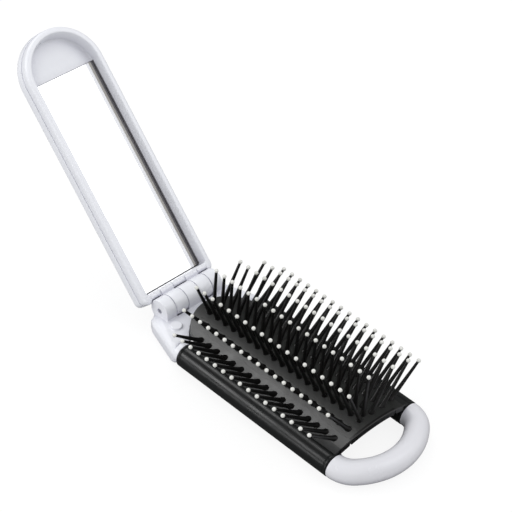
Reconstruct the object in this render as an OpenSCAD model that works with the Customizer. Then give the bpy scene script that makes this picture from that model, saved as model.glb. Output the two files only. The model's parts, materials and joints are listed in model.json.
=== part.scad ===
// Folding hairbrush with a mirror lid. Millimetres.
// X runs from the lid's hinge to the finger loop, Z is up from the table, and the
// hinge axis stands over the origin. The lid is drawn open, as in the photograph.

/* [Rails] */
// Distance between the two rail axes
rail_gap = 35.6; // [35:0.2:36.4]
// Outer radius of a rail sleeve, and the height of its axis
sleeve_r = 4.4; // [4.2:0.1:4.6]
// Length of a rail sleeve
sleeve_len = 71.8; // [70:0.2:76]
// Radius of the bar's arms, inside the sleeves
rod_r = 2.6; // [2.2:0.1:2.9]
// Radial play of a sleeve on its arm
sleeve_play = 0.06; // [0.03:0.01:0.09]
// Distance from the hinge axis to the sleeves
rail_start = 18.6; // [18.4:0.1:19.4]
// Depth of the arms in the yoke
rod_grip = 4.6; // [4:0.1:5]

/* [Loop] */
// Radius of the bar round its loop
loop_r = 4.3; // [4:0.1:4.4]
// Bend radius of the loop's two corners
loop_corner = 8.3; // [7.8:0.1:8.8]
// Reach of the loop's middle past the corner centres
loop_reach = 11.8; // [11.5:0.1:12.2]

/* [Pad] */
// Height of the pad's crown above the table
pad_top = 12.5; // [12.3:0.1:13]
// Radius of the pad's arch across the rails
pad_arch_r = 47; // [44:1:52]
// Thickness of the pad
pad_t = 1.2; // [1:0.1:1.3]
// Width of the pad's five inner strips
strip_w = 3.3; // [2.8:0.1:3.3]
// Width of the pad's two outermost strips
edge_strip_w = 3.5; // [3:0.1:3.5]
// Radius of the pad's round end at the yoke
pad_end_r = 15.6; // [15:0.1:15.8]
// Inner edge of the margin on a sleeve, from the middle
margin_in = 15.3; // [15.3:0.1:15.8]
// Thickness of that margin
margin_t = 0.8; // [0.6:0.1:0.9]

/* [Pins] */
// Step between pins along a row
pin_pitch = 4; // [3.8:0.1:4]
// Across-corner width of a pin at its root
pin_d = 1.2; // [0.9:0.1:1.3]
// Across-corner width of a pin under its bead
pin_tip_d = 1; // [0.7:0.1:1.1]
// Width of the bead on a pin
bead_d = 1.8; // [1.4:0.1:1.9]

/* [Yoke] */
// Height of the yoke
yoke_h = 7.4; // [7:0.1:7.8]
// Gap between the pad's round end and the yoke
yoke_gap = 0.4; // [0.4:0.1:0.8]
// Depth of the yoke behind the hinge axis
yoke_back = 3.1; // [2.8:0.1:3.1]
// Half width of the yoke over its noses
yoke_half = 21.4; // [21:0.1:22]

/* [Hinge] */
// Height of the hinge axis
hinge_z = 9.5; // [9.5:0.1:9.8]
// Radius of the knuckles
knuckle_r = 4.35; // [4:0.05:4.4]
// Radius of the hinge pin
hinge_pin_r = 1; // [0.8:0.05:1.3]
// Radial play of the hinge pin
pin_play = 0.05; // [0.03:0.01:0.09]
// Side gap between two knuckles
knuckle_gap = 0.2; // [0.15:0.05:0.4]
// Width of the middle knuckle
mid_knuckle = 5.6; // [5:0.2:6]
// Width of each knuckle of the lid
lid_knuckle = 5.5; // [5:0.1:6]
// Width of each outer knuckle
end_knuckle = 4.5; // [4:0.1:5]

/* [Lid] */
// Opening angle that is drawn
lid_open = 133.6; // [100:0.2:133.6]
// Half width of the cover
lid_half = 16.5; // [16.3:0.1:16.8]
// Distance from the hinge axis to the lid's far end
lid_reach = 106; // [100:0.5:106]
// Distance from the hinge axis to the lid's near end
lid_near = 3.5; // [3.5:0.1:3.8]
// Outer face of the cover, from the hinge axis
lid_back = 9.4; // [9.1:0.1:9.4]
// Rim of the lid, from the hinge axis
lid_rim = 0.9; // [0.8:0.1:1.2]
// Parting line of the lid, from the hinge axis
lid_split = 4.7; // [4.4:0.1:5.2]
// Face of the mirror, from the hinge axis
mirror_face = 6.5; // [6.4:0.1:6.6]
// Thickness of the mirror
mirror_t = 1.2; // [1:0.1:1.2]
// Half width of the recess at the mirror
recess_half = 14.2; // [14:0.1:14.4]
// Length of the mirror
mirror_len = 82.4; // [74:0.2:82.4]

/* [Hidden] */
$fn = 64;
eps = 0.01;
white = [0.93, 0.93, 0.95];
black = [0.08, 0.08, 0.09];
pearl = [0.88, 0.87, 0.82];

half_gap = rail_gap / 2;
rail_end = rail_start + sleeve_len;
// Axial play at each end of a sleeve
end_play = 0.15;
// The yoke's noses stop here and a collar carries on to the sleeve
nose_x = rail_start - 1.3;
collar_r = 3.8;
// A rod's radius less than its socket's
socket_play = 0.02;

// Loop: corner centre, then the big arc that meets both corners smoothly
corner_x = rail_end + 0.3;
corner_y = half_gap - loop_corner;
arc_r = (pow(loop_reach, 2) + pow(corner_y, 2) - pow(loop_corner, 2))
    / (2 * (loop_reach - loop_corner));
arc_x = corner_x + loop_reach - arc_r;
arc_a = atan2(corner_y, corner_x - arc_x);
arc_lap = 1.4;
// What runs into a bend is this much thinner, and an arm runs in this far
thinner = 0.02;
run_in = 0.3;

// Pad rows, from the middle one outwards: distance from the middle, fan angle,
// length of the pins, the least distance of a pin past the rail start, and the
// distance of the last pin from the rail end
row_y = [0, 4.2, 8.6, 12.5];
row_fan = [0, 20.2, 36.3, 53.8];
row_len = [17.3, 17.6, 17.4, 16.6];
row_first = [-3.8, -2.6, 0.6, 3.5];
row_back = [3.6, 2.4, 3.2, 4.3];
row_n = [for (k = [0:3]) floor((sleeve_len - row_back[k] - row_first[k]) / pin_pitch + 0.01) + 1];
// Middle and width of the pad strip that each row stands on
strip_mid = [0, 4.28, 8.53, 12.85];
strip_ws = [strip_w, strip_w, strip_w, edge_strip_w];
function arch_z(y) = pad_top - pad_arch_r + sqrt(pow(pad_arch_r, 2) - y * y);
function arch_a(y) = asin(y / pad_arch_r);
// Centre of the round end, from the hinge axis
end_x = rail_start + 6.2;
// Flat end of the pad at the loop
pad_x = rail_end - 0.2;

// Knuckle edges, from the middle
k1 = mid_knuckle / 2;
k2 = k1 + knuckle_gap;
k3 = k2 + lid_knuckle;
k4 = k3 + knuckle_gap;
k5 = k4 + end_knuckle;
bore_r = hinge_pin_r + pin_play;
// Room round the knuckles
swing = 0.4;
pin_sink = 1.2;

// Lid
frame_half = lid_half - 0.4;
frame_wall = 1.8;
rim_half = frame_half - frame_wall;
lid_skin = 1.2;
skin_in = lid_back - lid_skin;
lid_corner = 2.2;
// Slanted upper edge of the cover
lid_slant = 1.3;
recess_near = 6.8;
moon_face = mirror_face - 0.2;
mirror_play = 0.15;
mirror_near = recess_near + mirror_play;
mirror_half = recess_half - mirror_play;
moon_near = mirror_near + mirror_len + mirror_play;
// Centres of the round ends of the cover, the rim and the recess floor
cover_c = lid_reach - lid_half;
rim_c = lid_reach - 0.6 - frame_wall - rim_half;
floor_c = rim_c - 1.2;

// A bar along X that starts at x0
module along_x(x0, x1, r) { translate([x0, 0, 0]) rotate([0, 90, 0]) cylinder(h = x1 - x0, r = r); }
// A drum along Y that ends at y1
module along_y(y0, y1, r) { translate([0, y1, 0]) rotate([90, 0, 0]) cylinder(h = y1 - y0, r = r); }
module box(x0, x1, y0, y1, z0, z1) { translate([x0, y0, z0]) cube([x1 - x0, y1 - y0, z1 - z0]); }
module both_sides() { children(); mirror([0, 1, 0]) children(); }
module in_lid() { translate([0, 0, hinge_z]) rotate([0, -lid_open, 0]) children(); }

// ---- base: yoke and bar ----
// Outline of the yoke seen from above, drawn in by a margin
module yoke_plan(z, margin, t = eps) {
    back = -yoke_back + margin;
    side = yoke_half - margin;
    front = nose_x - margin;
    // a short back corner, one slanting side and a blunt nose
    half = [[back, 0], [back, side - 8.4], [back + 0.9, side - 6.2], [back + 3.2, side - 4.8],
        [front - 1.9, side], [front - 0.5, side - 0.3], [front, side - 1.4], [front, 0]];
    translate([0, 0, z]) linear_extrude(t) both_sides() polygon(half);
}
module yoke_block() {
    hull() {
        yoke_plan(0, 1.6);
        yoke_plan(0.5, 0.7);
        yoke_plan(1.6, 0, yoke_h - 4);
        yoke_plan(yoke_h - 0.8, 0.8);
        yoke_plan(yoke_h - eps, 2.4);
    }
}
module ear(y0, y1) {
    translate([0, 0, hinge_z]) along_y(y0, y1, knuckle_r);
    box(-yoke_back, knuckle_r, y0, y1, 1, hinge_z);
}
module yoke() {
    boss_x = 8.2;
    boss_y = 12.6;
    boss_r = 2.5;
    foot_half = k5 + 0.8;
    foot_t = 2;
    color(white) difference() {
        union() {
            difference() {
                union() {
                    yoke_block();
                    // foot that lies on the table
                    box(1.7 - yoke_back, boss_x, -foot_half, foot_half, 0, foot_t);
                }
                translate([end_x, 0, -1]) cylinder(h = yoke_h + 2, r = pad_end_r + yoke_gap, $fn = 128);
                // trough under the lid's knuckles, open to the back
                both_sides() {
                    y0 = k2 - knuckle_gap;
                    y1 = k3 + knuckle_gap;
                    translate([0, 0, hinge_z]) along_y(y0, y1, knuckle_r + swing);
                    box(-yoke_back - 1, 0, y0, y1, hinge_z - knuckle_r - swing, yoke_h + 1);
                }
            }
            ear(-k1, k1);
            both_sides() {
                ear(k4, k5);
                translate([boss_x, boss_y, yoke_h - 1]) cylinder(h = 1.8, r1 = boss_r, r2 = boss_r - 0.4);
                translate([0, half_gap, sleeve_r]) along_x(nose_x - 1, rail_start - end_play, collar_r);
            }
        }
        translate([0, 0, hinge_z]) along_y(-k5 - 1, k5 + 1, bore_r);
        both_sides() translate([0, half_gap, sleeve_r])
            along_x(rail_start - end_play - rod_grip - 0.3, rail_start + 1, rod_r + socket_play);
    }
}

module loop_bar() {
    color(white) {
        both_sides() {
            translate([0, half_gap, sleeve_r]) {
                along_x(rail_start - end_play - rod_grip, rail_end + end_play + 0.05, rod_r);
                along_x(rail_end + end_play, corner_x + run_in, loop_r - thinner);
            }
            translate([corner_x, corner_y, sleeve_r]) rotate([0, 0, arc_a])
                rotate_extrude(angle = 90 - arc_a) translate([loop_corner, 0]) circle(loop_r);
        }
        // the middle too runs a little way into the corners
        translate([arc_x, 0, sleeve_r]) rotate([0, 0, -arc_a - arc_lap])
            rotate_extrude(angle = 2 * (arc_a + arc_lap)) translate([arc_r, 0]) circle(loop_r - thinner);
    }
}

module hinge_pin() {
    color([0.7, 0.7, 0.72]) translate([0, 0, hinge_z]) along_y(-k5 + pin_sink, k5 - pin_sink, hinge_pin_r);
}

// ---- lid, drawn closed about the hinge axis and then turned open ----
// A plate with square near corners, a round far end and rounded near corners
module lid_plate(near, half, centre, z0, z1, corner = lid_corner) {
    h = z1 - z0;
    translate([0, 0, z0]) {
        translate([near + corner, -half, 0]) cube([centre - near - corner, 2 * half, h]);
        translate([near, corner - half, 0]) cube([2 * corner, 2 * (half - corner), h]);
        both_sides() translate([near + corner, half - corner, 0]) cylinder(h = h, r = corner);
        translate([centre, 0, 0]) cylinder(h = h, r = half, $fn = 128);
    }
}
module lid_room() {
    // room for the yoke's knuckles
    for (side = [-1, 1]) translate([0, side * (k4 + k5) / 2, 0])
        along_y(-end_knuckle / 2 - knuckle_gap, end_knuckle / 2 + knuckle_gap, knuckle_r + swing);
    along_y(-k2, k2, knuckle_r + swing);
}
// The cover's outer form, with its upper edges cut at a slant
module cover_form() {
    low = lid_back - lid_slant;
    intersection() {
        union() {
            rotate([90, 0, 90]) translate([0, 0, lid_near]) linear_extrude(cover_c - lid_near)
                polygon([[-lid_half, lid_split], [lid_half, lid_split], [lid_half, low],
                    [lid_half - lid_slant, lid_back], [lid_slant - lid_half, lid_back], [-lid_half, low]]);
            translate([cover_c, 0, lid_split]) cylinder(h = low - lid_split, r = lid_half, $fn = 128);
            translate([cover_c, 0, low])
                cylinder(h = lid_slant, r1 = lid_half, r2 = lid_half - lid_slant, $fn = 128);
        }
        lid_plate(lid_near, lid_half, cover_c, lid_split - 1, lid_back + 1);
        translate([lid_near, 0, low]) rotate([0, -45, 0])
            box(0, 2 * lid_reach, -lid_reach, lid_reach, -2 * lid_reach, 0);
    }
}
module lid_cover() {
    inner = frame_half - 1.1;
    color(white) in_lid() difference() {
        cover_form();
        lid_plate(lid_near + 1.4, inner + 0.05, cover_c - 0.4, lid_split - 1, skin_in, 1);
        along_y(-lid_half - 1, lid_half + 1, knuckle_r + swing);
    }
}
module lid_frame() {
    inner = frame_half - 1.1;
    color(white) in_lid() {
        difference() {
            union() {
                lid_plate(lid_near, frame_half, cover_c, lid_rim, lid_split);
                lid_plate(lid_near + 1.45, inner, cover_c - 0.4, lid_split - eps, skin_in, 1);
            }
            // recess, a little wider at its mouth
            hull() {
                lid_plate(recess_near, rim_half, rim_c, lid_rim - 1, lid_rim + eps, 0.8);
                lid_plate(recess_near, recess_half, floor_c, mirror_face - eps, mirror_face, 0.8);
            }
            difference() {
                lid_plate(recess_near, recess_half, floor_c, mirror_face - eps, skin_in + 1, 0.8);
                box(moon_near, lid_reach, -lid_half, lid_half, moon_face, skin_in + 2);
            }
            lid_room();
            along_y(-lid_half - 1, lid_half + 1, bore_r);
        }
        difference() {
            union() {
                // half-moon finger rest past the mirror
                intersection() {
                    lid_plate(recess_near, recess_half + 0.3, floor_c, moon_face, skin_in, 0.8);
                    box(moon_near, lid_reach, -lid_half, lid_half, moon_face, skin_in);
                }
                both_sides() {
                    along_y(k2, k3, knuckle_r);
                    box(0, recess_near - 0.5, k2, k3, lid_rim, knuckle_r);
                }
            }
            along_y(-lid_half - 1, lid_half + 1, bore_r);
        }
    }
}
module mirror_sheet(z0, z1, inset) {
    box(mirror_near + inset, mirror_near + mirror_len - inset, inset - mirror_half,
        mirror_half - inset, z0, z1);
}
module mirror_glass() {
    color([0.8, 0.85, 0.9]) in_lid() mirror_sheet(mirror_face, mirror_face + mirror_t, 0);
}
module mirror_tape() {
    color([0.6, 0.6, 0.6]) in_lid() mirror_sheet(mirror_face + mirror_t, skin_in, 4);
}

// ---- rails and pad ----
// Margin of the pad that is moulded on a sleeve and sinks into its top
module margin_strip() {
    far = half_gap - 0.6;
    start = rail_start + 1.5;
    steps = 4;
    ys = [for (i = [0:steps]) margin_in + (far - margin_in) * i / steps];
    top = [for (y = ys) [y, arch_z(y)]];
    under = [for (i = [steps - 1:-1:0]) [ys[i] - margin_t * sin(arch_a(ys[i])), arch_z(ys[i]) - margin_t]];
    foot = [[far, 2 * sleeve_r - 0.8]];
    translate([start, 0, 0]) rotate([90, 0, 90]) linear_extrude(pad_x - start)
        polygon(concat(top, foot, under));
}
module sleeve() {
    difference() {
        union() {
            translate([0, half_gap, sleeve_r]) along_x(rail_start, rail_end, sleeve_r);
            margin_strip();
        }
        translate([0, half_gap, sleeve_r]) along_x(rail_start - 1, rail_end + 1, rod_r + sleeve_play);
    }
}
module sleeve_left() { color(black) mirror([0, 1, 0]) sleeve(); }
module sleeve_right() { color(black) sleeve(); }

// Places children at the root of a row, with Z along its pins
module at_root(k, i) {
    x = rail_end - row_back[k] - (row_n[k] - 1 - i) * pin_pitch;
    translate([x, row_y[k], arch_z(row_y[k])]) rotate([-row_fan[k], 0, 0]) children();
}
module pad_strip(k) {
    y = strip_mid[k];
    half = strip_ws[k] / 2;
    intersection() {
        translate([0, y, arch_z(y)]) rotate([-arch_a(y), 0, 0])
            box(0, pad_x, -half, half, -pad_t, 0);
        union() {
            translate([end_x, 0, 0]) cylinder(h = 2 * pad_top, r = pad_end_r, $fn = 128);
            box(end_x, pad_x, -half_gap, half_gap, 0, 2 * pad_top);
        }
    }
}
// Bead seat below the bead's middle
bead_low = 0.75;
module pad_row(k) {
    sink = 0.5;
    pad_strip(k);
    for (i = [0:row_n[k] - 1]) at_root(k, i) translate([0, 0, -sink])
        cylinder(h = row_len[k] - bead_low + sink, d1 = pin_d, d2 = pin_tip_d, $fn = 4);
}
module tips_row(k) {
    for (i = [0:row_n[k] - 1]) at_root(k, i) translate([0, 0, row_len[k]]) {
        translate([0, 0, -bead_low]) cylinder(h = bead_low, d1 = 0.6 * bead_d, d2 = bead_d, $fn = 6);
        cylinder(h = bead_low, d1 = bead_d, d2 = 0.5 * bead_d, $fn = 6);
    }
}
module left_row(k) { color(black) mirror([0, 1, 0]) pad_row(k); }
module right_row(k) { color(black) pad_row(k); }
module left_tips(k) { color(pearl) mirror([0, 1, 0]) tips_row(k); }
module right_tips(k) { color(pearl) tips_row(k); }
module pad_row_1() { left_row(3); }
module pad_row_2() { left_row(2); }
module pad_row_3() { left_row(1); }
module pad_row_4() { right_row(0); }
module pad_row_5() { right_row(1); }
module pad_row_6() { right_row(2); }
module pad_row_7() { right_row(3); }
module tips_row_1() { left_tips(3); }
module tips_row_2() { left_tips(2); }
module tips_row_3() { left_tips(1); }
module tips_row_4() { right_tips(0); }
module tips_row_5() { right_tips(1); }
module tips_row_6() { right_tips(2); }
module tips_row_7() { right_tips(3); }

yoke();
loop_bar();
hinge_pin();
lid_cover();
lid_frame();
mirror_glass();
mirror_tape();
sleeve_left();
sleeve_right();
pad_row_1();
pad_row_2();
pad_row_3();
pad_row_4();
pad_row_5();
pad_row_6();
pad_row_7();
tips_row_1();
tips_row_2();
tips_row_3();
tips_row_4();
tips_row_5();
tips_row_6();
tips_row_7();
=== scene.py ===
import json
import math
import bpy
import bmesh
import numpy as np
from mathutils import Matrix, Vector

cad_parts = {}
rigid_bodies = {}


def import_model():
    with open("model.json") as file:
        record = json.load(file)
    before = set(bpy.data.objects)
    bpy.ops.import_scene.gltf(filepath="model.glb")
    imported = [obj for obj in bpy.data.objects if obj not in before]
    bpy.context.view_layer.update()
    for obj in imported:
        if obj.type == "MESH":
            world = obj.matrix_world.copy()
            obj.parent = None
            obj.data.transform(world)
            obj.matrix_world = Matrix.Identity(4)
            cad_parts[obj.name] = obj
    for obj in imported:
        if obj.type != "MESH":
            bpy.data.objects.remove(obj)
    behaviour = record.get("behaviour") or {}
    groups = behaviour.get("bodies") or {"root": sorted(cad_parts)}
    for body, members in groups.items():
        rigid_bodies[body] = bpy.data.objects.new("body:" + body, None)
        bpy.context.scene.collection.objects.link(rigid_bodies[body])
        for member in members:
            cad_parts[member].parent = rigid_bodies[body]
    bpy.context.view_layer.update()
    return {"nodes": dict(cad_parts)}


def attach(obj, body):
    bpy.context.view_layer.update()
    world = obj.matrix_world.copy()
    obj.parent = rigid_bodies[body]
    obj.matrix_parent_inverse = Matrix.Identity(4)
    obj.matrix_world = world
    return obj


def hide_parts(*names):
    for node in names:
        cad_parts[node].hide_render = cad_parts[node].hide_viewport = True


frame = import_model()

mm = 0.001
nodes = frame["nodes"]

# The brush is drawn in millimetres: x from the hinge to the loop, y across, z up from the table.
hinge = {"z": 9.5, "open": 133.6}
rail = {"y": 17.8, "z": 4.4, "start": 18.6, "end": 90.4, "tubeR": 4.4, "armR": 2.6, "boreR": 2.66}
arch = {"top": 12.5, "radius": 47.0, "thick": 1.2, "flatEnd": 90.2, "roundX": 24.8, "roundR": 15.6}


def archHeight(y):
    # height of a circle of the arch radius whose crown is at the pad's top
    return arch["top"] - arch["radius"] + np.sqrt(arch["radius"] ** 2 - np.asarray(y, float) ** 2)


# ---- mesh helpers ----
def gridFaces(rows, cols, wrapRows, wrapCols):
    # the four corners of every cell of a grid, as index arithmetic on the two directions
    r = np.arange(rows if wrapRows else rows - 1)[:, None]
    c = np.arange(cols if wrapCols else cols - 1)[None, :]
    r2, c2 = (r + 1) % rows, (c + 1) % cols
    quads = np.stack([r * cols + c, r * cols + c2, r2 * cols + c2, r2 * cols + c], axis=-1)
    return quads.reshape(-1, 4)


def surface(points, wrapRows=False, wrapCols=False, capFirst=False, capLast=False):
    # a grid of points as vertices and faces, with flat ends where they are asked for
    rows, cols = points.shape[:2]
    faces = gridFaces(rows, cols, wrapRows, wrapCols).tolist()
    if capFirst:
        faces.append(list(range(cols)))
    if capLast:
        faces.append(list(range((rows - 1) * cols, rows * cols)))
    return points.reshape(-1, 3), faces


def endFaces(rows, count):
    # closes both ends of a shell whose rows run out over count points and back under them:
    # each face joins two neighbours on the way out to the same two on the way back
    faces = []
    for row in (0, rows - 1):
        first = row * 2 * count
        last = first + 2 * count - 1
        faces += [[first + j, first + j + 1, last - 1 - j, last - j] for j in range(count - 1)]
    return faces


def makePiece(name, parts, body, material, sharp=35.0, replaced=(), materialOf=None):
    # joins several (vertices, faces) shells into one object, in millimetres, riding on a body
    verts, faces, start = [], [], 0
    for v, f in parts:
        verts.append(v)
        faces += [[i + start for i in face] for face in f]
        start += len(v)
    mesh = bpy.data.meshes.new(name)
    mesh.from_pydata((np.concatenate(verts) * mm).tolist(), [], faces)
    work = bmesh.new()
    work.from_mesh(mesh)
    bmesh.ops.remove_doubles(work, verts=work.verts, dist=1e-7)
    bmesh.ops.recalc_face_normals(work, faces=work.faces)
    work.to_mesh(mesh)
    work.free()
    mesh.shade_smooth()
    mesh.set_sharp_from_angle(angle=math.radians(sharp))
    obj = bpy.data.objects.new(name, mesh)
    bpy.context.scene.collection.objects.link(obj)
    for m in material if isinstance(material, list) else [material]:
        mesh.materials.append(m)
    if materialOf is not None:
        centres = np.empty(len(mesh.polygons) * 3)
        mesh.polygons.foreach_get("center", centres)
        chosen = materialOf(centres.reshape(-1, 3) / mm).astype(np.int32)
        mesh.polygons.foreach_set("material_index", chosen)
    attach(obj, body)
    if replaced:
        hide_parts(*replaced)


def dress(name, material):
    # gives one of the CAD solids its only material
    slots = nodes[name].data.materials
    slots.clear()
    slots.append(material)


def inLid(points):
    # from the lid's own directions (along, across, towards the cover) to the open pose:
    # a turn about the hinge axis by the opening angle
    a = math.radians(hinge["open"])
    c, s = math.cos(a), math.sin(a)
    along, across, out = points[..., 0], points[..., 1], points[..., 2]
    return np.stack([c * along - s * out, across, hinge["z"] + s * along + c * out], axis=-1)


def toLid(points):
    # the same turn undone
    a = math.radians(hinge["open"])
    c, s = math.cos(a), math.sin(a)
    x, y, z = points[..., 0], points[..., 1], points[..., 2] - hinge["z"]
    return np.stack([c * x + s * z, y, -s * x + c * z], axis=-1)


# ---- materials ----
finish = {"tintScale": 45, "glossScale": 160, "noiseLow": 0.3, "noiseHigh": 0.7,
          "shadeReach": 0.006, "coatRough": 0.12}


def nodeTree(name):
    # a new material with its nodes and its shader
    m = bpy.data.materials.new(name)
    m.use_nodes = True
    return m, m.node_tree, m.node_tree.nodes["Principled BSDF"]


def noise(tree, scale, detail=3.0):
    # cloudy noise in the object's own coordinates
    coords = tree.nodes.new("ShaderNodeTexCoord")
    tex = tree.nodes.new("ShaderNodeTexNoise")
    tex.inputs["Scale"].default_value = scale
    tex.inputs["Detail"].default_value = detail
    tex.inputs["Roughness"].default_value = 0.5
    tree.links.new(coords.outputs["Object"], tex.inputs["Vector"])
    return tex.outputs["Fac"]


def span(tree, value, low, high):
    # maps the middle part of a noise evenly to the range from low to high
    node = tree.nodes.new("ShaderNodeMapRange")
    node.inputs["From Min"].default_value = finish["noiseLow"]
    node.inputs["From Max"].default_value = finish["noiseHigh"]
    node.inputs["To Min"].default_value = low
    node.inputs["To Max"].default_value = high
    tree.links.new(value, node.inputs["Value"])
    return node.outputs["Result"]


def tint(tree, value, low, high):
    # a colour between low and high, by the noise's value
    node = tree.nodes.new("ShaderNodeMix")
    node.data_type = "RGBA"
    node.inputs["A"].default_value = (*low, 1)
    node.inputs["B"].default_value = (*high, 1)
    tree.links.new(span(tree, value, 0, 1), node.inputs["Factor"])
    return node.outputs["Result"]


def bump(tree, shader, height, depth):
    # half of the full slope of a height times a depth in metres
    node = tree.nodes.new("ShaderNodeBump")
    node.inputs["Strength"].default_value = 0.5
    node.inputs["Distance"].default_value = depth
    tree.links.new(height, node.inputs["Height"])
    tree.links.new(node.outputs["Normal"], shader.inputs["Normal"])


def shade(tree, colour, paintedShade, reach):
    # painted shade: darkens a colour towards a second one where other surfaces lie close in front
    # of it, as in corners and recesses
    ao = tree.nodes.new("ShaderNodeAmbientOcclusion")
    ao.samples = 8
    ao.inputs["Distance"].default_value = reach
    mix = tree.nodes.new("ShaderNodeMix")
    mix.data_type = "RGBA"
    mix.inputs["A"].default_value = (*paintedShade, 1)
    tree.links.new(ao.outputs["AO"], mix.inputs["Factor"])
    tree.links.new(colour, mix.inputs["B"])
    return mix.outputs["Result"]


def moulded(name, low, high, gloss, grain, depth, specular=0.5, coat=0.0, paintedShade=None):
    # moulded plastic or rubber: a slow change of tint, a finer change of gloss, a fine grain, and
    # painted shade in corners when a shade colour is given
    m, tree, shader = nodeTree(name)
    colour = tint(tree, noise(tree, finish["tintScale"]), low, high)
    # painted shade: the colour turns darker where other surfaces lie close
    if paintedShade:
        colour = shade(tree, colour, paintedShade, finish["shadeReach"])
    tree.links.new(colour, shader.inputs["Base Color"])
    rough = span(tree, noise(tree, finish["glossScale"], 4), *gloss)
    tree.links.new(rough, shader.inputs["Roughness"])
    shader.inputs["Specular IOR Level"].default_value = specular
    shader.inputs["Coat Weight"].default_value = coat
    shader.inputs["Coat Roughness"].default_value = finish["coatRough"]
    bump(tree, shader, noise(tree, grain, 2), depth)
    return m


def adjust(material, values):
    # sets more inputs of a material's shader
    for name, value in values.items():
        material.node_tree.nodes["Principled BSDF"].inputs[name].default_value = value


# name, darkest and lightest tint, range of roughness, scale of the grain and its depth in metres,
# and the colour of painted shade in corners
whiteShell = moulded("whiteShell", (0.81, 0.82, 0.86), (0.82, 0.83, 0.87), (0.27, 0.31),
                     2400, 0.000003, paintedShade=(0.52, 0.52, 0.60))
# the white shell's tint made darker for the loop bar, with a darker painted shade in its corners
darkerWhiteBar = moulded("darkerWhiteBar", (0.71, 0.71, 0.745), (0.725, 0.725, 0.755), (0.24, 0.28),
                  2400, 0.000003, paintedShade=(0.30, 0.30, 0.36))
blackSheet = moulded("blackSheet", (0.007, 0.008, 0.007), (0.012, 0.013, 0.011), (0.32, 0.38),
                     1500, 0.00003, specular=1.0)
blackTube = moulded("blackTube", (0.005, 0.006, 0.006), (0.008, 0.009, 0.009), (0.26, 0.36),
                    1800, 0.00001)
blackPin = moulded("blackPin", (0.004, 0.004, 0.004), (0.008, 0.0075, 0.007), (0.25, 0.35),
                   1800, 0.00001)
pearl = moulded("pearlBead", (0.70, 0.70, 0.66), (0.80, 0.80, 0.765), (0.16, 0.26),
                1800, 0.000005, coat=0.4)
shadowGap = moulded("shadowGap", (0.17, 0.165, 0.18), (0.21, 0.20, 0.215), (0.6, 0.8),
                    1200, 0.00002)
foam = moulded("foamTape", (0.55, 0.55, 0.53), (0.66, 0.65, 0.63), (0.8, 0.95), 2600, 0.0001)
# painted light: the silvering also glows, so that the mirror looks white whatever it faces
glowingSilver = moulded("silveringWithGlow", (0.93, 0.935, 0.94), (0.95, 0.955, 0.96), (0.004, 0.012),
                 300, 0.0000002)
adjust(glowingSilver, {"Metallic": 1.0, "Emission Color": (1, 1, 1, 1), "Emission Strength": 0.3})
# ground edge darkened with painted shade: it stands for the shaded slot beside the mirror
groundEdgeWithShade = moulded("groundEdgeWithShade", (0.18, 0.175, 0.19), (0.22, 0.21, 0.225), (0.4, 0.6),
                     900, 0.00001)
# painted reflection: a beige strip standing for the recess wall's lower part seen in the mirror
paintedWallReflection = moulded("paintedWallReflection", (0.48, 0.46, 0.43), (0.58, 0.565, 0.53), (0.25, 0.4),
                    900, 0.00001)
steel = moulded("drawnSteel", (0.42, 0.42, 0.43), (0.52, 0.52, 0.53), (0.25, 0.4), 700, 0.00001)
adjust(steel, {"Metallic": 1.0})
print("materials made")

# ---- camera, floor and light ----
camera = {"place": (0.36003, -0.32802, 0.42864), "lens": 127.11, "sensor": 36, "clip": 0.01,
          "right": (0.693222, 0.720239, 0.026443),
          "down": (0.472056, -0.426012, -0.771801),
          "ahead": (-0.544616, 0.547512, -0.635314)}
cam = bpy.data.objects.new("camera", bpy.data.cameras.new("camera"))
bpy.context.scene.collection.objects.link(cam)
cam.data.sensor_width = camera["sensor"]
cam.data.lens = camera["lens"]
cam.data.clip_start = camera["clip"]
upwards, backwards = [[-v for v in camera[key]] for key in ("down", "ahead")]
facingWay = Matrix([camera["right"], upwards, backwards]).transposed()
cam.matrix_world = Matrix.Translation(camera["place"]) @ facingWay.to_4x4()
bpy.context.scene.camera = cam
bpy.context.scene.view_settings.view_transform = "Standard"

light = {"world": 0.90, "sky": 1.0, "dim": 0.12, "panel": 1.12, "panelAt": (0.661, 0.548, 0.514),
         "panelEdge": (0.80, 0.92), "aimAt": (0.02, 0, 0.02),
         "floor": 0.14, "floorGlow": 0.87, "floorBounce": 0.5, "floorGloss": 0.12,
         "floorHalf": 3.0, "floorZ": -0.0003}
lamps = {"sheen": {"place": (-0.593, 0.12, 1.01), "size": (0.3, 0.3), "power": 1.5},
         "key": {"place": (-0.55, -0.70, 0.52), "size": (0.3, 0.3), "power": 1.8},
         "low": {"place": (-0.3, -1.0, 0.12), "size": (0.6, 0.15), "power": 1.0},
         "right": {"place": (0.5, 0.4, 0.8), "size": (0.5, 0.5), "power": 0.9},
         "front": {"place": (0.6, -0.6, 0.6), "size": (0.5, 0.5), "power": 0.4}}


def pathIs(tree, name):
    # 1 for rays of the named kind and 0 for all others
    path = tree.nodes.new("ShaderNodeLightPath")
    return path.outputs[name]


def blend(tree, factor, a, b):
    # a where the factor is 0 and b where it is 1; both are numbers or sockets
    node = tree.nodes.new("ShaderNodeMix")
    for socket, value in (("A", a), ("B", b)):
        if isinstance(value, (int, float)):
            node.inputs[socket].default_value = value
        else:
            tree.links.new(value, node.inputs[socket])
    tree.links.new(factor, node.inputs["Factor"])
    return node.outputs["Result"]


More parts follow.
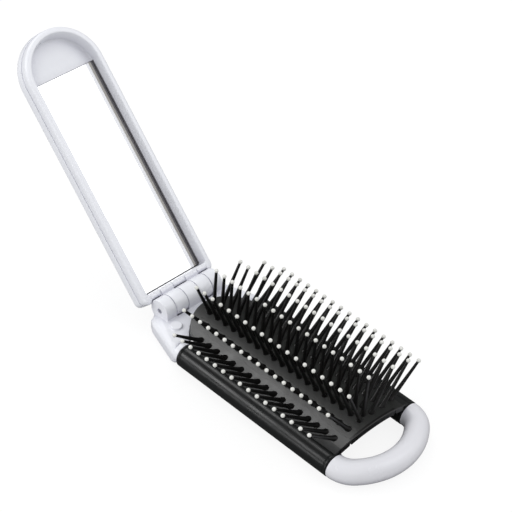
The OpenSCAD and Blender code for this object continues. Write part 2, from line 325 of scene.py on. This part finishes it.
# the sky is plain for the camera, soft for light, and a bright panel in a dim room for gloss
world = bpy.data.worlds.new("studio")
bpy.context.scene.world = world
world.use_nodes = True
wt = world.node_tree
background = wt.nodes["Background"]
background.inputs["Color"].default_value = (0.985, 0.99, 1.0, 1)
coords = wt.nodes.new("ShaderNodeTexCoord")
facing = wt.nodes.new("ShaderNodeVectorMath")
facing.operation = "DOT_PRODUCT"
facing.inputs[1].default_value = light["panelAt"]
wt.links.new(coords.outputs["Generated"], facing.inputs[0])
panel = wt.nodes.new("ShaderNodeMapRange")
panel.inputs["From Min"].default_value, panel.inputs["From Max"].default_value = light["panelEdge"]
panel.inputs["To Min"].default_value = light["dim"]
panel.inputs["To Max"].default_value = light["panel"]
wt.links.new(facing.outputs["Value"], panel.inputs["Value"])
forGloss = blend(wt, pathIs(wt, "Is Glossy Ray"), light["world"], panel.outputs["Result"])
forCamera = blend(wt, pathIs(wt, "Is Camera Ray"), forGloss, light["sky"])
wt.links.new(forCamera, background.inputs["Strength"])

for name, lamp in lamps.items():
    data = bpy.data.lights.new(name, "AREA")
    data.shape = "RECTANGLE"
    data.size, data.size_y = lamp["size"]
    data.energy = lamp["power"]
    obj = bpy.data.objects.new(name, data)
    bpy.context.scene.collection.objects.link(obj)
    obj.location = lamp["place"]
    aim = Vector(light["aimAt"]) - Vector(lamp["place"])
    obj.rotation_mode = "QUATERNION"
    obj.rotation_quaternion = aim.to_track_quat("-Z", "Y")
    obj.visible_camera = False

# the floor: bright for the camera with the shadow kept, darker for what it sends back
floorMesh = bpy.data.meshes.new("floor")
corners = [(x * light["floorHalf"], y * light["floorHalf"], light["floorZ"])
           for x, y in ((-1, -1), (1, -1), (1, 1), (-1, 1))]
floorMesh.from_pydata(corners, [], [(0, 1, 2, 3)])
floor = bpy.data.objects.new("floor", floorMesh)
bpy.context.scene.collection.objects.link(floor)
floorMat, ft, fs = nodeTree("paleFloor")
fs.inputs["Roughness"].default_value = 0.9
fs.inputs["Specular IOR Level"].default_value = 0.0
seen = pathIs(ft, "Is Camera Ray")
returned = blend(ft, pathIs(ft, "Is Glossy Ray"), light["floorBounce"], light["floorGloss"])
grey = ft.nodes.new("ShaderNodeCombineColor")
albedo = blend(ft, seen, returned, light["floor"])
for channel in ("Red", "Green", "Blue"):
    ft.links.new(albedo, grey.inputs[channel])
ft.links.new(grey.outputs["Color"], fs.inputs["Base Color"])
fs.inputs["Emission Color"].default_value = (1, 1, 1, 1)
ft.links.new(blend(ft, seen, 0.0, light["floorGlow"]), fs.inputs["Emission Strength"])
floorMesh.materials.append(floorMat)
print("camera, floor and light set")

# ---- lid ----
# its parting line is a list of (inset, distance out), from the hidden tray to the outer wall
lid = {"near": 3.5, "coverHalf": 16.3, "frameHalf": 16.1, "farCentre": 89.65, "corner": 2.2,
       "rim": 0.9, "back": 9.4, "backInset": 4.0, "slant": 1.9, "rimRound": 1.2, "mouthRound": 0.4,
       "mouthHalf": 13.9, "mouthCentre": 89.6, "floorHalf": 13.9, "floorCentre": 88.35,
       "recessNear": 6.8, "recessCorner": 0.8, "mirrorFace": 6.5, "slot": 1.2, "slotDeep": 0.3,
       "coverLine": [(1.7, 8.2), (1.7, 4.9), (0.35, 4.72), (0.06, 4.73), (0.0, 4.8)],
       "frameLine": [(1.6, 8.15), (1.6, 4.75), (0.25, 4.71), (0.04, 4.69), (0.0, 4.62)],
       "earRoom": 4.75, "earAt": (3.0, 8.5, 13.4), "earWall": 5.2, "nearHalf": 14.3,
       "earSteps": [2.9, 3.1, 8.4, 8.6, 13.3, 13.5], "gapHalf": 15.2, "gapBack": 7.9}


def nearSteps():
    # shares of the way across the near end, close together where the ears' notches begin and end
    notches = [side * e / lid["nearHalf"] for e in lid["earSteps"] for side in (-1, 1)]
    fine = [-0.98, 0.98, 0.0] + notches
    return np.unique(np.round(np.concatenate([np.linspace(-1, 1, 25), fine]), 5))


steps = nearSteps()


def lidOutline(near, half, centre, corner, out):
    # a plate's edge: the near side, a round corner, a straight side, the round far end, and back
    inner = half - corner
    a = np.linspace(0, math.pi / 2, 9)[1:]
    phi = np.linspace(0, math.pi, 73)[1:-1]
    t = np.linspace(0, 1, 24)[1:]
    nearSide = np.stack([np.full(len(steps), near), steps * inner], axis=1)
    corner1 = np.stack([near + corner - corner * np.cos(a), inner + corner * np.sin(a)], axis=1)
    side1 = np.stack([near + corner + (centre - near - corner) * t, np.full(len(t), half)], axis=1)
    far = np.stack([centre + half * np.sin(phi), half * np.cos(phi)], axis=1)
    back = np.concatenate([nearSide, corner1, side1, far])
    mirrored = np.concatenate([corner1, side1])[::-1] * [1, -1]
    flat = np.concatenate([back, mirrored])
    return np.concatenate([flat, np.full((len(flat), 1), float(out))], axis=1)


def offsetLid(inset, out, wide=False):
    # the frame's edge, or the wider cover's, drawn in evenly and set at a distance out
    half = lid["coverHalf"] if wide else lid["frameHalf"]
    corner = max(lid["corner"] - inset, 0.3)
    return lidOutline(lid["near"] + inset, half - inset, lid["farCentre"], corner, out)


def recessOutline(depth, grow=0.0):
    # the recess narrows evenly from its mouth at the rim to the mirror
    w = (depth - lid["rim"]) / (lid["mirrorFace"] - lid["rim"])
    half = lid["mouthHalf"] * (1 - w) + lid["floorHalf"] * w
    centre = lid["mouthCentre"] * (1 - w) + lid["floorCentre"] * w
    corner = lid["recessCorner"] + grow
    return lidOutline(lid["recessNear"] - grow, half + grow, centre, corner, depth)


# cover: outlines drawn in and raised, rounded at the parting line and at the back
coverRows = [offsetLid(inset, out, True) for inset, out in lid["coverLine"]]
for a in np.linspace(0, math.pi / 2, 8):
    inset = lid["slant"] * (1 - math.cos(a))
    out = lid["back"] - lid["slant"] * (1 - math.sin(a))
    coverRows.append(offsetLid(inset, out, True))
coverRows.append(offsetLid(lid["backInset"], lid["back"], True))
coverShell = surface(inLid(np.array(coverRows)), wrapCols=True, capFirst=True, capLast=True)
makePiece("lidCover", [coverShell], "lid", whiteShell, 40, ["lid_cover"])

# frame: from its hidden tray round the outer wall and the rim, down the recess to the mirror
frameRows = [offsetLid(inset, out) for inset, out in lid["frameLine"]]
frameRows.append(offsetLid(0.0, lid["rim"] + lid["rimRound"] + 0.3))
for a in np.linspace(0, math.pi / 2, 9):
    inset = lid["rimRound"] * (1 - math.cos(a))
    out = lid["rim"] + lid["rimRound"] * (1 - math.sin(a))
    frameRows.append(offsetLid(inset, out))
for a in np.linspace(math.pi / 2, 0, 6):
    frameRows.append(recessOutline(lid["rim"], lid["mouthRound"] * (1 - math.cos(a))))
    frameRows[-1][:, 2] += lid["mouthRound"] * (1 - math.sin(a))
slotTop = lid["mirrorFace"] - lid["slot"]
for d in np.linspace(lid["rim"] + 0.8, slotTop, 6):
    frameRows.append(recessOutline(d))
frameRows.append(recessOutline(slotTop + 0.02, lid["slotDeep"]))
frameRows.append(recessOutline(lid["mirrorFace"] + 0.3, lid["slotDeep"]))
frameRows.append(recessOutline(lid["mirrorFace"] + 1.25, 0.1))
rows = np.array(frameRows)
# notches for the ears: the near wall steps back to a drum round the hinge axis
across = np.abs(rows[..., 1])
middleEar, earFrom, earTo = lid["earAt"]
ear = (across < middleEar) | ((across > earFrom) & (across < earTo))
room = np.sqrt(np.maximum(lid["earRoom"] ** 2 - rows[..., 2] ** 2, 0))
nearWall = rows[..., 0] < lid["earWall"]
rows[..., 0] = np.where(ear & nearWall, np.maximum(rows[..., 0], room), rows[..., 0])


def gapFaces(centres):
    # true on the slot between the recess wall and the mirror: below its top, in front of the
    # tray and inside the outer wall
    local = toLid(centres)
    deep = (local[:, 2] > slotTop + 0.005) & (local[:, 2] < lid["gapBack"])
    return deep & (np.abs(local[:, 1]) < lid["gapHalf"])


frameShell = surface(inLid(rows), wrapCols=True, capFirst=True, capLast=True)
makePiece("lidFrame", [frameShell], "lid", [whiteShell, shadowGap], 32,
          ["lid_frame"], gapFaces)
print("lid cover and frame made")

# mirror: a plate whose long edges are ground and darkened with painted shade, with a strip of
# painted reflection of the recess wall beside the silver
mirror = {"near": 6.95, "length": 82.4, "half": 14.05, "thick": 1.2, "groundShade": 0.95,
          "paintedReflection": 1.0, "edge": 0.2, "faceDepth": 0.15}
face = lid["mirrorFace"]
bevel = mirror["edge"]
band = mirror["half"] - np.array([0, bevel, mirror["groundShade"], mirror["groundShade"] + mirror["paintedReflection"]])
ys = np.concatenate([-band, band[::-1]])
fall = np.zeros(len(ys))
fall[[0, -1]] = bevel
xs = mirror["near"] + np.array([0, bevel, mirror["length"] - bevel, mirror["length"]])
front = np.empty((len(xs), len(ys), 3))
front[..., 0] = xs[:, None]
front[..., 1] = ys[None, :]
front[..., 2] = face + fall[None, :]
front[[0, -1], :, 2] = face + bevel
back = front.copy()
back[..., 2] = face + mirror["thick"]
plate = np.concatenate([front, back[:, ::-1]], axis=1)
verts, faces = surface(inLid(plate), wrapCols=True)
faces += endFaces(len(xs), len(ys))


def mirrorBand(centres):
    # 0 for the ground edges darkened with painted shade and for the back, 1 for the strips of
    # painted wall reflection, 2 for the glowing silver
    local = toLid(centres)
    across = np.abs(local[:, 1])
    onFace = local[:, 2] < face + mirror["faceDepth"]
    paintedReflection = onFace & (across < mirror["half"] - mirror["groundShade"])
    silvered = onFace & (across < mirror["half"] - mirror["groundShade"] - mirror["paintedReflection"])
    return paintedReflection.astype(int) + silvered.astype(int)


makePiece("mirrorPlate", [(verts, faces)], "lid", [groundEdgeWithShade, paintedWallReflection, glowingSilver], 5,
          ["mirror_glass"], mirrorBand)

# finger rest: a half-moon that curves up into the recess's round wall
rest = {"start": 89.45, "face": 6.3, "centre": 88.62, "radius": 14.15, "fillet": 0.95,
        "grooveDeep": 0.25, "grooveWide": 0.12, "under": 8.0}
v = np.concatenate([np.linspace(0, 0.8, 8), np.linspace(0.83, 1, 12)])[:, None]
phi = np.linspace(-1, 1, 49)[None, :]
edgeAngle = math.acos((rest["start"] - rest["centre"]) / rest["radius"])
arcX = rest["centre"] + rest["radius"] * np.cos(phi * edgeAngle)
arcY = rest["radius"] * np.sin(phi * edgeAngle)
lineY = phi * rest["radius"] * math.sin(edgeAngle)
restX = rest["start"] + v * (arcX - rest["start"])
restY = lineY + v * (arcY - lineY)
# the fillet is a quarter circle over the distance to the wall
toWall = np.clip(rest["radius"] - np.hypot(restX - rest["centre"], restY), 0, rest["fillet"])
rise = rest["fillet"] - np.sqrt(rest["fillet"] ** 2 - (rest["fillet"] - toWall) ** 2)
# a shallow bell-shaped groove runs along the mirror's end
groove = rest["grooveDeep"] * np.exp(-((restX - rest["start"]) / rest["grooveWide"]) ** 2)
top = np.stack([restX, restY, rest["face"] - rise + groove], axis=-1)
under = np.stack([restX, restY, np.full_like(restX, rest["under"])], axis=-1)
shell = np.concatenate([top, under[::-1]])
makePiece("fingerRest", [surface(inLid(shell), wrapRows=True)], "lid", whiteShell,
          50)
dress("mirror_tape", foam)


# ---- knuckles ----
def drumAndArm(points, y0, y1, edge, place):
    # an outline in the plane across the hinge axis, carried along it, drawn in at both ends
    centre = points.mean(axis=0)
    rows = []
    for y, inset in [(y0, edge), (y0 + 0.3 * edge, 0.3 * edge), (y0 + edge, 0), (y1 - edge, 0),
                     (y1 - 0.3 * edge, 0.3 * edge), (y1, edge)]:
        away = points - centre
        length = np.linalg.norm(away, axis=1, keepdims=True)
        flat = centre + away * (1 - inset / length)
        rows.append(np.stack([flat[:, 0], np.full(len(flat), y), flat[:, 1]], axis=1))
    return surface(place(np.array(rows)), wrapCols=True, capFirst=True, capLast=True)


knuckle = {"radius": 4.35, "edge": 0.25, "lid": (3.0, 8.5),
           "arm": [[6.2, 4.35], [6.6, 4.1], [6.65, 1.2], [6.5, 0.8], [6.1, 0.6], [5.0, 0.6],
                   [4.6, 0.8]]}
a = np.linspace(math.radians(-90), math.radians(-270), 40)
round1 = knuckle["radius"] * np.stack([np.cos(a), np.sin(a)], axis=1)
b = np.linspace(math.radians(10), math.radians(-88), 16)
round2 = knuckle["radius"] * np.stack([np.cos(b), np.sin(b)], axis=1)
lidKnuckleLine = np.concatenate([round1, knuckle["arm"], round2])
parts = []
for side in (-1, 1):
    y0, y1 = sorted(side * k for k in knuckle["lid"])
    parts.append(drumAndArm(lidKnuckleLine, y0, y1, knuckle["edge"], inLid))
makePiece("lidKnuckles", parts, "lid", whiteShell, 28)

# rounded bars on the lid's rim, over the yoke's ears
bar = {"along": 5.55, "out": 0.95, "halfWide": 0.8, "halfHigh": 0.42,
       "ears": [(-13.1, -8.8), (-2.7, 2.7), (8.8, 13.1)],
       "inwards": np.array([0, 0.1, 0.35]), "share": np.array([0.55, 0.85, 1])}
bars = []
turn = np.linspace(0, 2 * math.pi, 21)[:-1]
for y0, y1 in bar["ears"]:
    y = np.concatenate([y0 + bar["inwards"], y1 - bar["inwards"][::-1]])
    size = np.concatenate([bar["share"], bar["share"][::-1]])
    p = np.empty((len(y), len(turn), 3))
    p[..., 0] = bar["along"] + bar["halfWide"] * size[:, None] * np.cos(turn)
    p[..., 1] = y[:, None]
    p[..., 2] = bar["out"] + bar["halfHigh"] * size[:, None] * np.sin(turn)
    bars.append(surface(inLid(p), wrapCols=True, capFirst=True, capLast=True))
makePiece("lidBars", bars, "lid", whiteShell, 50)
print("knuckles and bars made")

# ---- yoke: the CAD solid, softened as a moulded piece ----
softening = {"merge": 0.000001, "voxel": 0.0002, "factor": 0.5, "rounds": 3}
dress("yoke", whiteShell)
yoke = nodes["yoke"]
weld = yoke.modifiers.new("weld", "WELD")
weld.merge_threshold = softening["merge"]
soften = yoke.modifiers.new("soften", "REMESH")
soften.mode = "VOXEL"
soften.voxel_size = softening["voxel"]
soften.use_smooth_shade = True
relax = yoke.modifiers.new("relax", "SMOOTH")
relax.factor = softening["factor"]
relax.iterations = softening["rounds"]
dress("hinge_pin", steel)

# ---- loop bar: a round section along the arms and round the loop ----
loop = {"barR": 4.3, "cornerR": 8.3, "cornerX": 90.7, "reach": 11.8, "armFrom": 13.85,
        "armAlong": [90.65, 90.62, 90.6, 90.55, 90.4, 60, 30], "faceRound": (0.1, 0.35),
        "stepR": 3.6, "endRound": 0.3}
# the large arc runs smoothly into both corner arcs and passes the loop's furthest point
cornerY = rail["y"] - loop["cornerR"]
excess = loop["reach"] ** 2 + cornerY ** 2 - loop["cornerR"] ** 2
bigR = excess / (2 * (loop["reach"] - loop["cornerR"]))
bigX = loop["cornerX"] + loop["reach"] - bigR
bigA = math.atan2(cornerY, loop["cornerX"] - bigX)


def barPath():
    # half of the centre line from the middle of the loop, with its directions and radii
    a1 = np.linspace(0, bigA, 16)[:-1]
    a2 = np.linspace(bigA, math.pi / 2, 24)
    big = np.stack([bigX + bigR * np.cos(a1), bigR * np.sin(a1), a1], axis=1)
    small = np.stack([loop["cornerX"] + loop["cornerR"] * np.cos(a2),
                      cornerY + loop["cornerR"] * np.sin(a2), a2], axis=1)
    x = np.array([*loop["armAlong"], loop["armFrom"] + loop["endRound"], loop["armFrom"]])
    r = np.full(len(x), rail["armR"])
    r[:2] = loop["barR"] - np.array(loop["faceRound"])
    r[2] = loop["stepR"]
    r[-1] = rail["armR"] - loop["endRound"]
    arm = np.stack([x, np.full(len(x), rail["y"]), np.full(len(x), math.pi / 2)], axis=1)
    half = np.concatenate([big, small, arm])
    radii = np.concatenate([np.full(len(big) + len(small), loop["barR"]), r])
    return half, radii


half, radii = barPath()
other = half[:0:-1] * [1, -1, 1]
other[:, 2] = -other[:, 2]
line = np.concatenate([other, half])
radii = np.concatenate([radii[:0:-1], radii])
turns = np.linspace(0, 2 * math.pi, 41)[:-1]
ring = np.stack([np.cos(turns), np.sin(turns)], axis=1)
tube = np.empty((len(line), len(turns), 3))
tube[..., 0] = line[:, 0, None] + radii[:, None] * ring[None, :, 0] * np.cos(line[:, 2, None])
tube[..., 1] = line[:, 1, None] + radii[:, None] * ring[None, :, 0] * np.sin(line[:, 2, None])
tube[..., 2] = rail["z"] + radii[:, None] * ring[None, :, 1]
makePiece("loopBar", [surface(tube, wrapCols=True, capFirst=True, capLast=True)],
          "base", darkerWhiteBar, 40, ["loop_bar"])
print("yoke and bar made")

# ---- sleeves, each with the margin of the pad ----
# the ends are lists of distances in from the tip and of how far the skin lies below the tube
sleeve = {"marginIn": 14.95, "marginOut": 17.5, "marginT": 0.85, "marginFrom": 20.1,
          "marginEdge": 0.15, "plain": 10, "endAlong": [0, 0, 0.1, 0.35, 1.0, 1.15, 1.3, 1.45, 1.6],
          "endDown": [rail["tubeR"] - rail["boreR"], 0.35, 0.12, 0, 0, 0.12, 0.12, 0, 0]}


def sleeveShells(side):
    # a hollow round tube with rounded ends, and a strip of the arch that sinks into its top
    end = np.array(sleeve["endAlong"])
    down = np.array(sleeve["endDown"])
    full = rail["end"] - rail["start"]
    middle = np.linspace(sleeve["plain"], full - sleeve["plain"], 7)
    x = rail["start"] + np.concatenate([end, middle, full - end[::-1]])
    r = rail["tubeR"] - np.concatenate([down, np.zeros(len(middle)), down[::-1]])
    a = np.linspace(0, 2 * math.pi, 49)[:-1]
    p = np.empty((len(x), len(a), 3))
    p[..., 0] = x[:, None]
    p[..., 1] = side * (rail["y"] + r[:, None] * np.cos(a))
    p[..., 2] = rail["z"] + r[:, None] * np.sin(a)
    y = np.linspace(sleeve["marginIn"], sleeve["marginOut"], 8)
    top = np.stack([y, archHeight(y)], axis=1)
    low = np.stack([y, archHeight(y) - sleeve["marginT"]], axis=1)[::-1]
    section = np.concatenate([top, low])
    edge = sleeve["marginEdge"]
    xs = np.array([sleeve["marginFrom"], sleeve["marginFrom"] + edge,
                   arch["flatEnd"] - edge, arch["flatEnd"]])
    drop = np.array([edge, 0, 0, edge])
    m = np.empty((len(xs), len(section), 3))
    m[..., 0] = xs[:, None]
    m[..., 1] = side * section[None, :, 0]
    m[..., 2] = section[None, :, 1] - drop[:, None] * (np.arange(len(section)) < len(y))
    return [surface(p, wrapRows=True, wrapCols=True),
            surface(m, wrapCols=True, capFirst=True, capLast=True)]


for side, name, body in ((-1, "left", "rail_left"), (1, "right", "rail_right")):
    makePiece("sleeve" + name.capitalize(), sleeveShells(side), body, blackTube,
              40, ["sleeve_" + name])
print("sleeves made")

# ---- pad rows: a strip of the arch with its pins, and their beads ----
# lists of four run from the middle row outwards; drawIn moves the inner and outer edge of a
# strip's underside, so that the two outer strips clear each other as they fold
pad = {"edges": [0.0, 2.14, 6.405, 10.64, 14.93], "seam": 0.015, "pitch": 4.0,
       "y": [0, 4.2, 8.6, 12.5], "fan": [0, 20.2, 36.3, 53.8], "length": [17.3, 17.6, 17.4, 16.6],
       "count": [19, 19, 18, 17], "back": [3.6, 2.4, 3.2, 4.3],
       "drawIn": [(0, 0), (0, 0), (0, -0.45), (0.45, 0)],
       "rootX": [-1.0, -1.1, -0.4, -0.3], "rootY": [0, -1.4, -0.6, 1.0],
       "pinAlong": [-0.5, 0.1, 0.5, 1.2, 3.0, 9.0, -0.6],
       "pinRadius": [1.2, 1.18, 1.1, 0.92, 0.78, 0.64, 0.5], "pinSides": 8,
       "beadR": 0.75, "beadSides": 10, "beadRings": [-88, -55, -25, 5, 35, 62, 88],
       "bow": 0.7, "lip": 1.1, "lipThick": 2.3, "lipFace": 0.15, "round": 0.2}


def stripShell(k, y0, y1):
    # top and under faces of the arch between two edges, from the round end to the flat end
    y = np.linspace(y0, y1, 9)
    start = arch["roundX"] - np.sqrt(arch["roundR"] ** 2 - y ** 2)
    u = np.concatenate([[0, 0], np.linspace(0, 1, 5)[1:-1], [1, 1, 1, 1]])
    nudge = np.zeros(len(u))
    nudge[1] = pad["round"]
    nudge[-4:] = [-pad["lip"], 0.1 - pad["lip"], -pad["round"], 0]
    drop = np.zeros(len(u))
    drop[0] = drop[-1] = pad["round"]
    # the flat end bows out a little in the middle and its edge is a thicker lip
    end = arch["flatEnd"] + pad["bow"] * (1 - (y / rail["y"]) ** 2)
    thick = np.full(len(u), arch["thick"])
    thick[-3:] = pad["lipThick"]
    x = start[None, :] + u[:, None] * (end - start)[None, :] + nudge[:, None]
    z = archHeight(y)[None, :] - drop[:, None]
    top = np.stack([x, np.broadcast_to(y, x.shape), z], axis=-1)
    under = top.copy()
    under[..., 2] = archHeight(y)[None, :] - thick[:, None]
    t = (y - y0) / (y1 - y0)
    inner, outer = pad["drawIn"][k]
    under[..., 1] += (inner * (1 - t) + outer * t)[None, :]
    shell = np.concatenate([top, under[:, ::-1]], axis=1)
    verts, faces = surface(shell, wrapCols=True)
    return verts, faces + endFaces(len(u), len(y))


def lipFaces(centres):
    # true on the pad's flat end
    return centres[:, 0] > arch["flatEnd"] - pad["lipFace"]


def rowRoots(k):
    # a row's places along the brush, one pitch apart, with its side, height and lean
    x = rail["end"] - pad["back"][k] - np.arange(pad["count"][k]) * pad["pitch"]
    return x, pad["y"][k], float(archHeight(pad["y"][k])), math.radians(pad["fan"][k])


def turned(along, radius, angle, k):
    # rings round a leaning axis, one set for every root of the row
    x, y, z, fan = rowRoots(k)
    ringX = radius[:, None] * np.cos(angle)[None, :]
    ringS = radius[:, None] * np.sin(angle)[None, :]
    p = np.empty((len(x), len(along), len(angle), 3))
    p[..., 0] = x[:, None, None] + ringX
    p[..., 1] = y + along[:, None] * math.sin(fan) + ringS * math.cos(fan)
    p[..., 2] = z + along[:, None] * math.cos(fan) - ringS * math.sin(fan)
    return p


def pinShells(k):
    # tapered rings from below the sheet to just below the bead, for every pin of a row
    along = np.array(pad["pinAlong"])
    along[-1] += pad["length"][k]
    angle = np.linspace(0, 2 * math.pi, pad["pinSides"] + 1)[:-1]
    p = turned(along, np.array(pad["pinRadius"]), angle, k)
    # the root stands a little beside the bead's line, and the shift fades towards the bead
    y, dy = pad["y"][k], pad["rootY"][k]
    fade = (1 - np.clip(along, 0, None) / pad["length"][k])[None, :, None]
    p[..., 0] += fade * pad["rootX"][k]
    p[..., 1] += fade * dy
    p[..., 2] += fade * float(archHeight(y + dy) - archHeight(y))
    return [surface(one, wrapCols=True, capFirst=True, capLast=True) for one in p]


def beadShells(k):
    # a ball round each pin's end: rings at given angles above its middle
    lat = np.radians(np.array(pad["beadRings"]))
    angle = np.linspace(0, 2 * math.pi, pad["beadSides"] + 1)[:-1]
    along = pad["length"][k] + pad["beadR"] * np.sin(lat)
    p = turned(along, pad["beadR"] * np.cos(lat), angle, k)
    return [surface(one, wrapCols=True, capFirst=True, capLast=True) for one in p]


def mirrored(shells, side):
    # the shells as they are for side 1, and across the middle for side -1
    return [(v * [1, side, 1], f) for v, f in shells]


for number in range(1, 8):
    k = abs(number - 4)
    side = 1 if number >= 4 else -1
    y0 = (-pad["edges"][1] if k == 0 else pad["edges"][k]) + pad["seam"]
    y1 = pad["edges"][k + 1] - pad["seam"]
    body = "row_%d" % number
    makePiece("padRow%d" % number, mirrored([stripShell(k, y0, y1)], side), body,
              [blackSheet, blackPin], 40, ["pad_row_%d" % number], lipFaces)
    makePiece("pinRow%d" % number, mirrored(pinShells(k), side), body, blackPin,
              60)
    makePiece("beadRow%d" % number, mirrored(beadShells(k), side), body, pearl,
              80, ["tips_row_%d" % number])
print("pad rows made")

# the pins don't block the two lamps that make the gloss, so it stays even between the rows
passed = bpy.data.collections.new("passedByGloss")
for number in range(1, 8):
    for kind in ("pinRow", "beadRow"):
        passed.objects.link(bpy.data.objects["%s%d" % (kind, number)])
for member in passed.collection_objects:
    member.light_linking.link_state = "EXCLUDE"
for name in ("sheen", "key"):
    bpy.data.objects[name].light_linking.blocker_collection = passed
